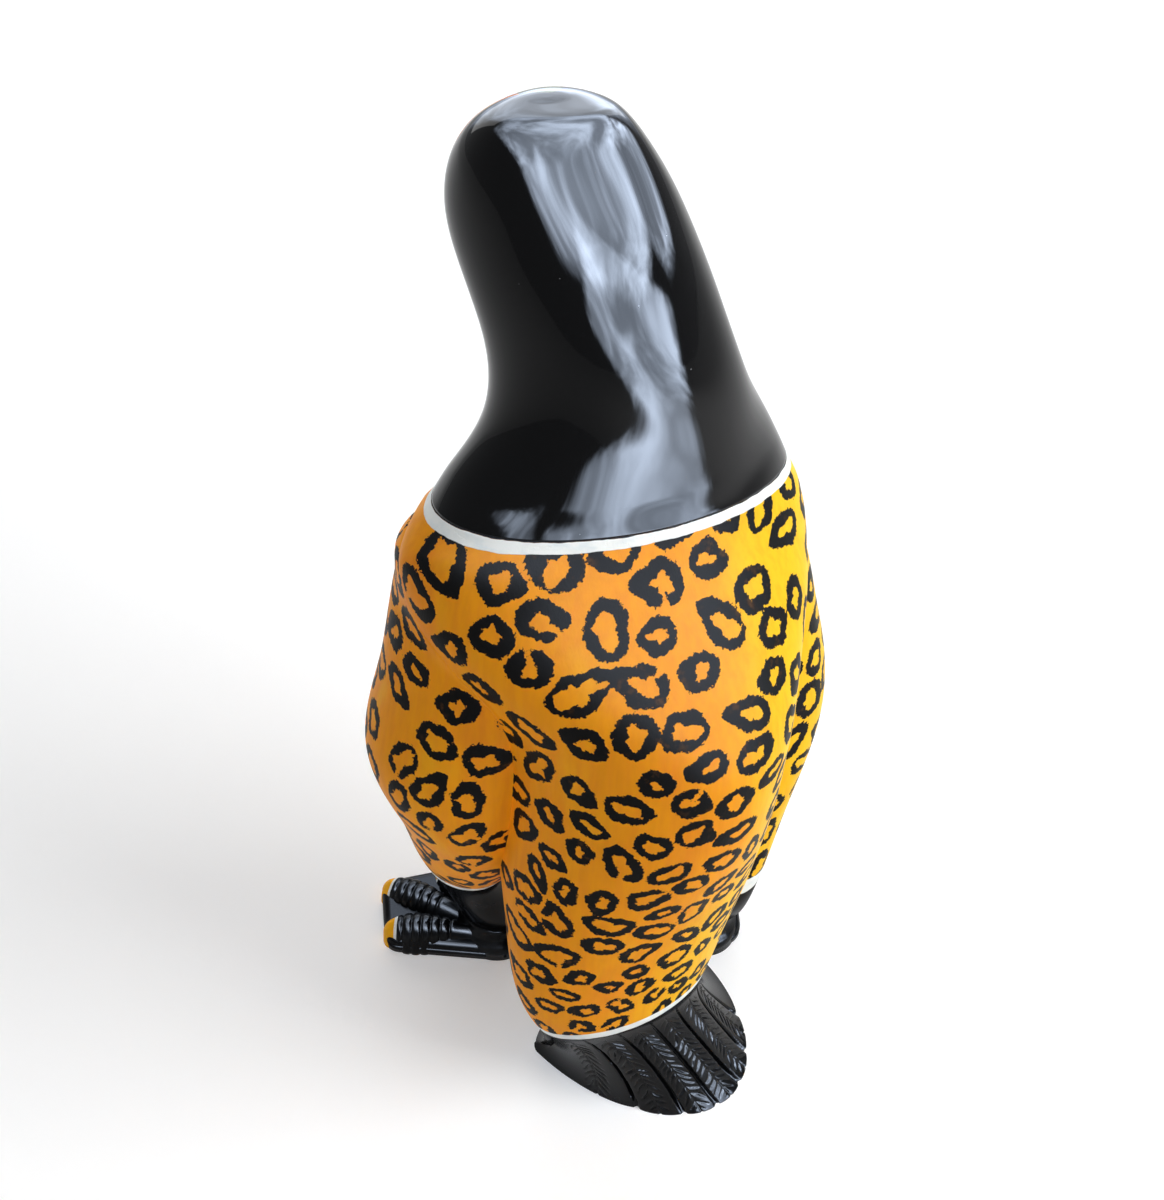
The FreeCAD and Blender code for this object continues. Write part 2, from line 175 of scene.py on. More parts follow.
turn_round = np.linspace(0, 2 * np.pi, TRUNK_COLUMNS, endpoint=False)
trunk_rows = sections(TRUNK_MARKS, GAUGE_LEVELS)
trunk_wall = rings(sections(TRUNK_MARKS, FINE_LEVELS), turn_round)
seam_base = SEAM_HEIGHT - SEAM_SIDE_SLOPE * MOVED[0] - SEAM_BACK_SLOPE * MOVED[1]
above_seam = (trunk_wall[..., 2] - seam_base - SEAM_SIDE_SLOPE * trunk_wall[..., 0]
              - SEAM_BACK_SLOPE * trunk_wall[..., 1])
past = np.argmax(above_seam > 0, axis=0)
column = np.arange(TRUNK_COLUMNS)
seam_level = past - (above_seam[past, column]
                     / (above_seam[past, column] - above_seam[past - 1, column]))
body_wall = wall_between(trunk_wall, 0 * seam_level, seam_level, BODY_LEVELS)

# ---------------------------------------------------------------------------
# Legs: thigh and shank of each leg are one softwood block, hollowed on the inside so that it
# fits the body's flank, then glued, doweled and filled so that the thigh flows into the back.
LEFT_LEG_MARKS = [
    (85.0, -10.0, 400.0, 25.0, 34.0, 0.0),
    (85.5, -14.0, 350.0, 30.5, 46.0, 0.0),
    (85.0, -13.0, 300.0, 40.0, 54.0, 0.0),
    (88.5, -17.0, 245.0, 45.0, 56.0, 0.0),
    (81.5, -20.0, 190.0, 36.0, 48.0, 0.0),
    (74.0, -30.0, 145.0, 30.0, 38.0, 0.0),
    (66.0, -43.0, 108.0, 24.0, 28.0, 0.0),
    (52.0, -54.0, 62.0, 21.0, 26.0, 0.0),
    (38.0, -64.0, 24.0, 21.0, 27.0, 0.0),
]
RIGHT_LEG_MARKS = [
    (-74.0, -4.0, 388.0, 15.0, 26.0, 0.0),
    (-82.0, -8.0, 350.0, 29.0, 44.0, 0.0),
    (-85.0, -6.0, 300.0, 41.0, 54.0, 0.0),
    (-88.5, 3.5, 245.0, 45.0, 56.0, 0.0),
    (-81.5, 16.0, 190.0, 36.0, 48.0, 0.0),
    (-74.0, 26.0, 145.0, 30.0, 38.0, 0.0),
    (-66.0, 37.0, 108.0, 24.0, 28.0, 0.0),
    (-78.0, 21.0, 62.0, 21.0, 26.0, 0.0),
    (-86.0, -1.0, 24.0, 21.0, 27.0, 0.0),
]
LEG_MARKS = {"left_leg": LEFT_LEG_MARKS, "right_leg": RIGHT_LEG_MARKS}
LEG_COLUMNS = 180
LEG_LEVELS = 230
LEG_GAUGE_LEVELS = 160       # sections that distances to a leg are measured from
FILLER_HEIGHTS = (0.0, 300.0, 335.0, 375.0, 420.0)
FILLER_WIDTHS = (3.0, 3.0, 6.0, 20.0, 44.0)   # how far the filler runs out from the joint
SEAM_EASE = 30.0             # depth below the seam over which the filler thins out to nothing
LEG_TOP_ROUNDING = 22.0      # a leg's top is rounded from this far below its first section,
LEG_TOP_PAST = 4.0           # as if up to this far above it,
LEG_TOP_TAPER = 0.7          # by up to this share of its width
BODY_CARVING = (70, 0.35, 3)     # size, depth and random seed of the knife marks
LEG_CARVING = (60, 0.3, 5)
CARVING_START = 15.0         # distance from the seam at which the knife marks have their depth


def ease(value, low, high):
    """0 up to low, 1 from high, and a smooth rise between them."""
    t = np.clip((value - low) / (high - low), 0, 1)
    return t * t * (3 - 2 * t)


def under_seam(points):
    """Height of the neck's seam above each point."""
    return (seam_base + SEAM_SIDE_SLOPE * points[..., 0] + SEAM_BACK_SLOPE * points[..., 1]
            - points[..., 2])


def filler(points, normals, rows):
    """Push where two blocks meet: a quarter of the filler's width at the joint itself, falling
    to nothing as the square of the distance left to the filler's edge, and at the seam."""
    width = np.interp(points[..., 2], FILLER_HEIGHTS, FILLER_WIDTHS)
    near = np.clip(1 - np.abs(gap_to(points, rows)) / width, 0, 1)
    return pushed(points, normals, width / 4 * near ** 2 * ease(under_seam(points), 0, SEAM_EASE))


leg_rows = {name: sections(marks, LEG_GAUGE_LEVELS)[::-1] for name, marks in LEG_MARKS.items()}
body_normals = outward(body_wall)
for rows in leg_rows.values():
    body_wall = filler(body_wall, body_normals, rows)
carving = knife_marks(body_wall, *BODY_CARVING) * ease(under_seam(body_wall), 0, CARVING_START)
body_wall = pushed(body_wall, body_normals, carving)

leg_turn = np.linspace(0, 2 * np.pi, LEG_COLUMNS, endpoint=False)
leg_walls = {}
for name, marks in LEG_MARKS.items():
    rows = sections(marks, LEG_LEVELS)[::-1]
    near_top = ease(rows[:, 2], marks[0][2] - LEG_TOP_ROUNDING, marks[0][2] + LEG_TOP_PAST)
    rows[:, 3:5] *= 1 - LEG_TOP_TAPER * near_top[:, None]
    wall = rings(rows, leg_turn)
    normals = outward(wall)
    wall = filler(wall, normals, trunk_rows)
    leg_walls[name] = pushed(wall, normals, knife_marks(wall, *LEG_CARVING))

# ---------------------------------------------------------------------------
# Brushed rosettes: the spots of a big cat, each an uneven ring pulled round with a round brush
# in black enamel over the orange ground, closely packed and a little smaller lower down.
SPACING_HEIGHTS = (60.0, 150.0, 330.0, 400.0)
SPACINGS = (16.0, 18.3, 22.4, 24.0)   # least distance between the middles of two rosettes
SPOT_TRIES = 26000                    # places that are tried for a middle
PLACE_SEED, SHAPE_SEED = 11, 12
LOWEST_SPOT = 100.0                   # no middle lies below this height on a leg
CREASE_ROOM = 3.0                     # least distance from the joint of two blocks to a middle
CREASE_TURN = 0.6                     # cosine of the turn past which a ring is cut off
CREASE_CUT = 12.0                     # how sharply it is cut there
RING_GAP = 1.2                        # from the edge of a ring to the halfway line
RING_DIRECTIONS = 60
OVALS = (1.05, 1.25, 1.5)             # how much longer than wide a ring may be
OVAL_LEANS = 12                       # leans that are tried for it
LEVEL_LIKING = 0.04                   # how much a level oval is preferred to an upright one
LARGEST_RING = 0.68                   # radii and widths as shares of the spacing
SMALLEST_HOLE = 0.07
BRUSH_SHARE = 0.275
POINTED_ENDS = (0.0, 0.2, 0.34)       # how far one end of a ring is drawn out, as a share
POINT_WIDTH = 0.42
RING_WAVER = (2, 3, 4, 5), 0.05       # orders and size of a line's unevenness
BRUSH_WAVER = (1, 2), 0.22
HOLE_WAVER = (2, 3, 4, 6), 0.12
BROKEN_SHARE = 0.15                   # share of the rings where the brush was lifted
BREAK_HALF_WIDTH = 1.5
LEAST_FACING = 0.2                    # a neighbour further off to the side leaves its room
FAR = 99.0                            # further away than anything that counts
INK_LIMIT = 4.0                       # the ink mark stops at this distance
BATCHES = 40                          # parts that the points are taken in, to save memory


def scattered(points, normals, seed):
    """Middles picked at random from the points, none nearer to another than the spacing."""
    random = np.random.default_rng(seed)
    chosen = np.empty((0, 3))
    picked = []
    for index in random.permutation(len(points))[:SPOT_TRIES]:
        point = points[index]
        room = np.interp(point[2], SPACING_HEIGHTS, SPACINGS)
        if not len(chosen) or np.min(np.sum((chosen - point) ** 2, axis=1)) > room * room:
            chosen = np.vstack([chosen, point])
            picked.append(index)
    return chosen, normals[picked]


def tangents(normals):
    """Level and uphill directions along the surface at each middle."""
    level = np.cross([0, 0, 1.0], normals)
    level /= np.linalg.norm(level, axis=1, keepdims=True)
    return level, np.cross(normals, level)


def oval(ways, longer, lean):
    """Radius of an ellipse of area pi whose long axis leans: 1 over the root of the sum of the
    squares of cos / long and sin / short."""
    long = np.sqrt(longer)
    return 1 / np.hypot(np.cos(ways - lean) / long, np.sin(ways - lean) * long)


def waver(random, count, ways, kind):
    """Unevenness of a hand-drawn line round a ring, as waves of a few orders."""
    orders, size = kind
    phases = random.uniform(0, 2 * np.pi, (count, len(orders), 1))
    waves = np.cos(np.array(orders)[None, :, None] * ways + phases)
    return 1 + size * (waves * random.uniform(0.3, 1, (count, len(orders), 1))).sum(axis=1)


def ring_outlines(middles, level, uphill, seed):
    """Outer and inner radius of each ring in every direction, and the way to its break. The oval
    that best fills the room up to the neighbours is drawn, often with a pointed end, and the
    brush's width is left."""
    random = np.random.default_rng(seed)
    count = len(middles)
    offset = middles[None] - middles[:, None]
    distance = np.linalg.norm(offset, axis=2)[:, :, None]
    bearing = np.arctan2(np.einsum("cok,ck->co", offset, uphill),
                         np.einsum("cok,ck->co", offset, level))
    ways = np.linspace(0, 2 * np.pi, RING_DIRECTIONS, endpoint=False)
    facing = np.cos(ways - bearing[:, :, None])
    to_halfway = distance / 2 / np.maximum(facing, LEAST_FACING)
    reach = np.where(facing > LEAST_FACING, to_halfway, FAR)
    reach[np.arange(count), np.arange(count)] = FAR
    limit = reach.min(axis=1) - RING_GAP
    spacing = np.interp(middles[:, 2], SPACING_HEIGHTS, SPACINGS)[:, None]
    best = np.zeros((count, 1))
    shape = np.ones((count, RING_DIRECTIONS))
    lean = np.zeros((count, 1))
    for longer in OVALS:
        for turn in np.linspace(0, np.pi, OVAL_LEANS, endpoint=False):
            tried = oval(ways, longer, turn)
            room = (limit / tried).min(axis=1, keepdims=True)
            level_share = 1 + LEVEL_LIKING * np.cos(2 * turn)
            liking = room * random.uniform(0.9, 1.1, (count, 1)) * level_share
            shape = np.where(liking > best, tried, shape)
            lean = np.where(liking > best, turn, lean)
            best = np.maximum(liking, best)
    shape = shape * waver(random, count, ways, RING_WAVER)
    end = random.choice([0, np.pi], (count, 1))
    away = np.abs((ways - lean - end + np.pi) % (2 * np.pi) - np.pi)
    point = random.choice(POINTED_ENDS, (count, 1)) * np.exp(-(away / POINT_WIDTH) ** 2)
    room = (limit / shape).min(axis=1, keepdims=True)
    room = np.minimum(room * random.uniform(0.92, 1.08, (count, 1)), LARGEST_RING * spacing)
    outer = shape * room * (1 + point)
    brush = BRUSH_SHARE * spacing * random.uniform(0.88, 1.12, (count, 1))
    brush = brush * waver(random, count, ways, BRUSH_WAVER)
    inner = (shape * room - brush) * waver(random, count, ways, HOLE_WAVER)
    inner = np.maximum(inner, SMALLEST_HOLE * spacing)
    is_broken = random.uniform(size=count) < BROKEN_SHARE
    return outer, inner, np.where(is_broken, random.uniform(0, 6.3, count), np.nan)


def read_round(radii, rings_of, angle):
    """Radius of the named rings at an angle, between the two nearest directions of the table."""
    step = (angle % (2 * np.pi)) / (2 * np.pi) * RING_DIRECTIONS
    base = step.astype(int) % RING_DIRECTIONS
    share = step - np.floor(step)
    after = (base + 1) % RING_DIRECTIONS
    return radii[rings_of, base] * (1 - share) + radii[rings_of, after] * share


def inked(points, normals, middles, facings, level, uphill, outlines):
    """Millimetres inside the brushed ring of the nearest rosette, less than 0 off the ink: the
    lesser distance in from its two edges. The brush doesn't follow a crease, so the ink stops
    where the surface has turned too far from the way the middle faces."""
    shape = points.shape[:-1]
    points = points.reshape(-1, 3)
    normals = normals.reshape(-1, 3)
    nearest = np.concatenate([
        np.argmin(((part[:, None] - middles[None]) ** 2).sum(axis=2), axis=1)
        for part in np.array_split(points, BATCHES)])
    offset = points - middles[nearest]
    along = (offset * level[nearest]).sum(axis=1)
    up = (offset * uphill[nearest]).sum(axis=1)
    radius, angle = np.linalg.norm(offset, axis=1), np.arctan2(up, along)
    outer, inner, broken = outlines
    ink = np.minimum(read_round(outer, nearest, angle) - radius,
                     radius - read_round(inner, nearest, angle))
    swing = np.abs((angle - broken[nearest] + np.pi) % (2 * np.pi) - np.pi) * radius
    swing -= BREAK_HALF_WIDTH
    ink = np.where(np.isnan(swing), ink, np.minimum(ink, swing))
    turned = (normals * facings[nearest]).sum(axis=1)
    ink = np.minimum(ink, (turned - CREASE_TURN) * CREASE_CUT)
    return np.clip(ink, -INK_LIMIT, INK_LIMIT).reshape(shape)


leg_gaps = [gap_to(body_wall, rows) for rows in leg_rows.values()]
surfaces = [(body_wall, body_normals, np.minimum(*leg_gaps))]
for wall in leg_walls.values():
    gap = np.minimum(gap_to(wall, trunk_rows), wall[..., 2] - LOWEST_SPOT)
    surfaces.append((wall, outward(wall), gap))
places = np.concatenate([wall[gap > CREASE_ROOM] for wall, _, gap in surfaces])
facings = np.concatenate([normals[gap > CREASE_ROOM] for _, normals, gap in surfaces])
middles, facings = scattered(places, facings, PLACE_SEED)
level, uphill = tangents(facings)
outlines = ring_outlines(middles, level, uphill, SHAPE_SEED)

# ---------------------------------------------------------------------------
# Painted skins: the meshes of the body and legs. Each point also carries how far it is inside
# a brushed ring, and how far it is in from the edge where the white border lines run.
TAIL_SEAT_TILT = np.radians(TRUNK_MARKS[0][5])
SEAM_LINE_DROP = 0.5         # black left above the white shoulder line
RING_Z = 115.0               # height of the lower edge of the white ring round each leg
RING_STRETCH = 0.45          # how fast the border mark grows up a leg, so its ring is the widest
SHANK_TOP = RING_Z - 2.0     # the plain black starts here, under the ring's uneven edge


def skin(name, walls, marks):
    """One closed mesh from walls. wall[row, column] holds x, y and z in millimetres and then the
    painted marks. Columns run round and meet, and a fan to the middle closes each end."""
    corners, faces, start = [], [], 0
    for wall in walls:
        rows, columns, width = wall.shape
        corners += [wall.reshape(-1, width), wall[[0, -1]].mean(axis=1)]
        here = start + np.arange(rows * columns).reshape(rows, columns)
        after = np.roll(here, -1, axis=1)
        low_middle = start + rows * columns + np.zeros(columns, int)
        sides = [np.stack([here[:-1], after[:-1], after[1:], here[1:]], axis=-1).reshape(-1, 4),
                 np.stack([low_middle, after[0], here[0]], axis=-1),
                 np.stack([low_middle + 1, here[-1], after[-1]], axis=-1)]
        faces += [face for side in sides for face in side.tolist()]
        start += rows * columns + 2
    corners = np.concatenate(corners)
    mesh = bpy.data.meshes.new(name)
    mesh.from_pydata(corners[:, :3] * MM, [], faces)
    mesh.polygons.foreach_set("use_smooth", np.ones(len(faces), bool))
    for number, mark in enumerate(marks):
        painted_mark = mesh.attributes.new(mark, "FLOAT", "POINT")
        painted_mark.data.foreach_set("value", corners[:, 3 + number])
    piece = bpy.data.objects.new(name, mesh)
    bpy.context.scene.collection.objects.link(piece)
    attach(piece, "root")
    return piece


def marked(wall, *marks):
    """The wall with painted marks added after the x, y and z of its points."""
    return np.concatenate([wall] + [mark[..., None] for mark in marks], axis=-1)


def painted(wall, border):
    """The wall with its ink and border marks added."""
    ink = inked(wall, outward(wall), middles, facings, level, uphill, outlines)
    return marked(wall, ink, border)


below_seam = under_seam(body_wall) - SEAM_LINE_DROP
seat = np.array(TRUNK_MARKS[0][:3]) + MOVED
above_seat = ((body_wall[..., 2] - seat[2]) * np.cos(TAIL_SEAT_TILT)
              - (body_wall[..., 1] - seat[1]) * np.sin(TAIL_SEAT_TILT))
body = skin("body_block", [painted(body_wall, np.minimum(below_seam, above_seat))],
            ("ink", "border"))
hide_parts("torso")
legs = {}
for name, wall in leg_walls.items():
    above_ring = (wall[..., 2] - RING_Z) * RING_STRETCH
    legs[name] = skin(name + "_block", [painted(wall, above_ring)], ("ink", "border"))
    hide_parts(name)

# ---------------------------------------------------------------------------
# Enamel of the body and legs: orange brushed thinly with deep orange and yellow, streaky down
# the grain, then the black rosettes and white border lines. The yellow that grows steadily towards
# the figure's right is painted light, standing for the light on that side. The shanks are plain
# black.
ORANGE = (0.92, 0.345, 0.010, 1)
YELLOW = (0.95, 0.57, 0.018, 1)
DEEP_ORANGE = (0.84, 0.235, 0.022, 1)
STREAK_ORANGE = (0.76, 0.26, 0.012, 1)
# Painted light: the ground turns yellower towards the figure's right, the side the key lamp
# lights.
YELLOW_AND_LIGHT_TO_RIGHT = -7.0       # how fast yellow takes over towards the figure's right, to the metre
INK = (0.0055, 0.0050, 0.0045, 1)
THIN_INK = (0.060, 0.026, 0.008, 1)
LINE_WHITE = (0.92, 0.94, 0.91, 1)
THIN_WHITE = (0.82, 0.87, 0.87, 1)
PRIMER = (0.80, 0.76, 0.68, 1)              # shows in small chips
BLACK = (0.0030, 0.0031, 0.0036, 1)
DULL_BLACK = (0.013, 0.013, 0.014, 1)
LINE_WIDTH = 5.2             # millimetres
LINE_EDGE = 0.15
BLACK_COAT = {"Roughness": 0.5, "Specular_IOR_Level": 0.0, "Coat_IOR": 1.3}


class Paint:
    """A value in a material's nodes. + - * and abs on it add Math nodes, and node() adds any
    other node."""

    def __init__(self, tree, socket=None):
        self.tree = tree
        self.socket = socket

    def node(self, kind, inputs, output=0, **settings):
        made = self.tree.nodes.new("ShaderNode" + kind)
        for setting, value in settings.items():
            setattr(made, setting, value)
        for place, value in inputs.items():
            if isinstance(value, Paint):
                self.tree.links.new(value.socket, made.inputs[place])
            else:
                made.inputs[place].default_value = value
        return Paint(self.tree, made.outputs[output] if made.outputs else None)

    def math(self, operation, other):
        return self.node("Math", {0: self, 1: other}, operation=operation)

    def __add__(self, other):
        return self.math("ADD", other)

    def __sub__(self, other):
        return self.math("SUBTRACT", other)

    def __mul__(self, other):
        return self.math("MULTIPLY", other)

    def __rsub__(self, other):
        return self * -1 + other

    def __abs__(self):
        return self.node("Math", {0: self}, operation="ABSOLUTE")

    __radd__ = __add__
    __rmul__ = __mul__

    def fade(self, low, high):
        """0 up to low, 1 from high, and a smooth rise between them."""
        return self.node("MapRange", {0: self, 1: low, 2: high}, interpolation_type="SMOOTHSTEP")

    def blend(self, low, high):
        """The colour low where this is 0 and the colour high where it is 1."""
        return self.node("Mix", {0: self, 6: low, 7: high}, output=2, data_type="RGBA")

    def axis(self, name):
        """The X, Y or Z of this place."""
        return self.node("SeparateXYZ", {0: self}, output=name)

    def mark(self, name):
        """A painted mark that the mesh carries."""
        return self.node("Attribute", {}, output=2, attribute_name=name)

    def place(self, stretch=(1, 1, 1)):
        """Where a point is on the figure, in metres, with each axis multiplied."""
        where = self.node("TexCoord", {}, output="Object")
        return where if stretch == (1, 1, 1) else where.node("Mapping", {0: where, 3: stretch})

    def mottle(self, scale, detail=2.0, stretch=(1, 1, 1)):
        """Soft random patches, from 0 to 1, with that many to the metre."""
        inputs = {"Vector": self.place(stretch), "Scale": scale, "Detail": detail}
        return self.node("TexNoise", inputs)


def new_paint(name):
    """An empty material, and what its nodes are written with."""
    material = bpy.data.materials.new(name)
    material.use_nodes = True
    material.node_tree.nodes.clear()
    return material, Paint(material.node_tree)


def finish(paint, colour, relief, depth, **sockets):
    """Shader of the finished surface. relief is in the unit of depth, which is in metres."""
    bump = paint.node("Bump", {"Height": relief, "Distance": depth})
    inputs = {"Base Color": colour, "Normal": bump}
    inputs.update({name.replace("_", " "): value for name, value in sockets.items()})
    shader = paint.node("BsdfPrincipled", inputs)
    paint.node("OutputMaterial", {"Surface": shader})


rosette_enamel, paint = new_paint("rosette_enamel")
# Painted light: a steady rise of yellow towards the figure's right, added to the paint's own
# random yellow patches.
side = paint.place().axis("X") * YELLOW_AND_LIGHT_TO_RIGHT
patches = paint.mottle(7.5, 3.0, (1.0, 1.0, 0.62)) + side
streaks = paint.mottle(26, 4.0, (9.0, 9.0, 0.9))
deep = paint.mottle(13, 3.0, (1.3, 1.3, 0.5)).fade(0.52, 0.74) * 0.55
ground = (deep + streaks.fade(0.35, 0.75) * 0.30).blend(ORANGE, DEEP_ORANGE)
ground = (patches.fade(0.28, 0.72) * 0.85).blend(ground, YELLOW)
grain = paint.mottle(150, 3.0, (1.6, 1.6, 0.22)).fade(0.35, 0.75)
ground = (grain * 0.28).blend(ground, STREAK_ORANGE)
ground = (paint.mottle(30, 4.0, (1.0, 1.0, 0.4)).fade(0.56, 0.80) * 0.35).blend(ground, YELLOW)
ragged = (paint.mottle(700, 3.0) - 0.5) * 3.6 + (paint.mottle(290, 2.0) - 0.5) * 3.4
ink = (paint.mark("ink") + ragged).fade(-0.2, 0.2)
dry = paint.mottle(170, 4.0).fade(0.54, 0.70) * paint.mottle(30, 2.0).fade(0.52, 0.66)
colour = ink.blend(ground, (dry * 0.85).blend(INK, THIN_INK))
chips = paint.node("TexVoronoi", {"Vector": paint.place(), "Scale": 13.0}, output="Distance")
chip = 1 - (chips + (paint.mottle(700, 2.0) - 0.5) * 0.030).fade(0.010, 0.013)
colour = chip.blend(colour, PRIMER)
border = paint.mark("border") + (paint.mottle(90, 3.0) - 0.5) * 1.6
inside = border.fade(-LINE_EDGE, LINE_EDGE)
line = inside * (1 - border.fade(LINE_WIDTH - LINE_EDGE, LINE_WIDTH + LINE_EDGE))
white = paint.mottle(120, 4.0, (1, 1, 2)).fade(0.42, 0.72).blend(LINE_WHITE, THIN_WHITE)
colour = inside.blend(BLACK, line.blend(colour, white))
thickness = ink * 0.5 + line * 0.6 + paint.mottle(420, 3.0, (2.5, 2.5, 0.35)) * 0.5
finish(paint, colour, thickness, 0.00022, Roughness=0.38, Specular_IOR_Level=0.02)
for piece in (body, *legs.values()):
    piece.data.materials.append(rosette_enamel)

shank_enamel, paint = new_paint("shank_enamel")
colour = paint.mottle(45, 4.0).fade(0.5, 0.8).blend(BLACK, DULL_BLACK)
finish(paint, colour, paint.mottle(60, 5.0, (6.0, 6.0, 0.7)), 0.00024,
       **BLACK_COAT, Coat_Weight=0.22, Coat_Roughness=0.16)
for piece in legs.values():
    piece.data.materials.append(shank_enamel)
    heights = np.array([polygon.center.z for polygon in piece.data.polygons])
    piece.data.polygons.foreach_set("material_index", (heights < SHANK_TOP * MM).astype(int))

# ---------------------------------------------------------------------------
# Head and neck: one block glued on at the seam just above the white line, sanded smooth and
# given several coats of gloss black enamel. The face is painted on its front.
HEAD_LEVELS = 260
HEAD_CARVING = (62, 0.55, 21)
CROWN_RISE = 1.2             # height of the crown's middle above its last section
CROWN_LEVELS = 9
NECK_JOINT = 5.5             # the filled joint shows this far above the shoulder line
FACE_PLANE = (0.0, -0.938, 0.347)           # the way the face looks
FACE_EDGE = (20.0, -74.3, 559.0)            # a point where the black ends
CHIN_HEIGHT, CHIN_CURVE = 486.0, 0.010
PEAK_X, PEAK_WIDTH, PEAK_REACH = 18.0, 11.0, 11.0   # the face's peak onto the crown
PEAK_HEIGHTS = (575, 588)
EYE_HEIGHT = 569.0
EYE_SPREAD = 34.0            # degrees from straight ahead to each eye
EYE_BULGE, EYE_RADIUS = 1.8, 9.0
FACE_MIDDLE = 0.0228         # metres
OLIVE_BASE, OLIVE_SLOPE = 566, 0.5          # the olive patch widens upwards from this height
FACE_LINE_TOP = (548, 554)   # heights over which the white line round the face runs out
FACE_ORANGE = (0.80, 0.20, 0.014, 1)
OLIVE = (0.115, 0.130, 0.022, 1)
DUST = (0.20, 0.21, 0.22, 1)
EYE_RINGS = [(7.7, 8.1, BLACK), (6.7, 7.1, LINE_WHITE), (4.9, 5.2, YELLOW), (3.0, 3.3, BLACK)]

top_level = seam_level * 0 + FINE_LEVELS - 1
head_wall = wall_between(trunk_wall, seam_level, top_level, HEAD_LEVELS)
crown = head_wall[-1].mean(axis=0)
closing = [crown + (head_wall[-1] - crown) * share + [0, 0, CROWN_RISE * (1 - share ** 2)]
           for share in np.linspace(0.9, 0.1, CROWN_LEVELS)]
head_wall = np.concatenate([head_wall, closing])
head_normals = outward(head_wall)
carving = knife_marks(head_wall, *HEAD_CARVING) * ease(-under_seam(head_wall), 0, CARVING_START)
head_wall = pushed(head_wall, head_normals, carving)

eye_row = trunk_rows[np.argmin(np.abs(trunk_rows[:, 2] - EYE_HEIGHT))]
eye_distance = np.full(head_wall.shape[:2], FAR)
for sign in (-1, 1):
    angle = np.radians(-90 + sign * EYE_SPREAD)
    eye = rings(eye_row[None], np.array([angle]))[0, 0]
    away = np.linalg.norm(head_wall - eye, axis=-1)
    head_wall = pushed(head_wall, head_normals, EYE_BULGE * np.exp(-(away / EYE_RADIUS) ** 2))
    eye_distance = np.minimum(eye_distance, away)
face_edge = np.array(FACE_EDGE) + MOVED
into_face = (head_wall - face_edge) @ np.array(FACE_PLANE)
from_peak = head_wall[..., 0] - PEAK_X - MOVED[0]
peak = PEAK_REACH * np.exp(-(from_peak / PEAK_WIDTH) ** 2)
into_face += peak * ease(head_wall[..., 2], *PEAK_HEIGHTS)
above_chin = head_wall[..., 2] - CHIN_HEIGHT
face = np.minimum(into_face, above_chin - CHIN_CURVE * (head_wall[..., 0] - face_edge[0]) ** 2)
head_skin = marked(head_wall, face, eye_distance, -under_seam(head_wall))
head = skin("head_block", [head_skin], ("face", "eye", "neck"))
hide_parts("head")

black_gloss, paint = new_paint("black_gloss")
face_mark = paint.mark("face") + (paint.mottle(80, 2.0) - 0.5) * 1.5
in_face = face_mark.fade(2.6, 3.0)
height = paint.place().axis("Z") * 1000
face_line = face_mark.fade(0.0, 0.4) * (1 - in_face) * (1 - height.fade(*FACE_LINE_TOP))
face_colour = paint.mottle(38, 3.0, (1, 1, 0.6)).fade(0.45, 0.68).blend(FACE_ORANGE, YELLOW)
from_middle = abs(paint.place().axis("X") - FACE_MIDDLE) * 1000
olive = from_middle - (height - OLIVE_BASE) * OLIVE_SLOPE + (paint.mottle(140, 3.0) - 0.5) * 5
face_colour = olive.fade(-0.4, 0.4).blend(OLIVE, face_colour)
eye_mark = paint.mark("eye") + (paint.mottle(220, 2.0) - 0.5) * 0.5
for near, far, ring_colour in EYE_RINGS:
    face_colour = (1 - eye_mark.fade(near, far)).blend(face_colour, ring_colour)
specks = paint.node("TexVoronoi", {"Vector": paint.place(), "Scale": 130.0}, output="Distance")
dust = (1 - specks.fade(0.030, 0.050)) * paint.mottle(60, 1.0).fade(0.56, 0.60)
colour = in_face.blend(dust.blend(BLACK, DUST), face_colour)
colour = face_line.blend(colour, LINE_WHITE)
strokes = paint.mottle(60, 5.0, (6.0, 6.0, 0.7))
scratches = (paint.mottle(55, 3.0, (0.7, 0.7, 26.0)).fade(0.60, 0.74)
             * paint.mottle(17, 1.0).fade(0.58, 0.66))
from_joint = paint.mark("neck") + (paint.mottle(30, 2.0) - 0.5) * 2.0 - NECK_JOINT
joint = (1 - abs(from_joint).fade(0.15, 0.55)) * paint.mottle(22, 2.0).fade(0.38, 0.55)
finish(paint, colour, strokes * 0.6 + scratches * 0.5 + dust * 0.4 - joint * 0.9, 0.00024,
       **BLACK_COAT, Coat_Weight=0.8, Coat_Roughness=0.05)
head.data.materials.append(black_gloss)

# ---------------------------------------------------------------------------
# Beak: two small blocks pegged to the face, the upper one hooked over the lower. Orange enamel
# with a black tip.
UPPER_BEAK_MARKS = [
    (15.5, -84.0, 538.0, 21.0, 22.0, 96.0),
    (17.5, -104.0, 533.0, 19.0, 20.0, 108.0),
    (19.5, -120.0, 519.0, 14.0, 15.0, 138.0),
    (20.5, -125.0, 501.0, 8.5, 9.0, 168.0),
    (20.5, -121.0, 486.0, 2.5, 2.5, 190.0),
]
LOWER_BEAK_MARKS = [
    (15.5, -76.0, 504.0, 14.0, 11.0, 98.0),
    (17.5, -92.0, 501.0, 12.5, 9.5, 104.0),
    (19.0, -102.0, 496.0, 8.5, 6.0, 116.0),
    (19.3, -107.0, 492.0, 2.5, 2.0, 126.0),
]
BEAK_LEVELS = 90
BEAK_COLUMNS = 96
BEAK_CARVING = (24, 0.2, 31)
NOSTRIL_PLACE = 0.30         # share of the way to the tip
NOSTRIL_TURN = 48            # degrees from the ridge
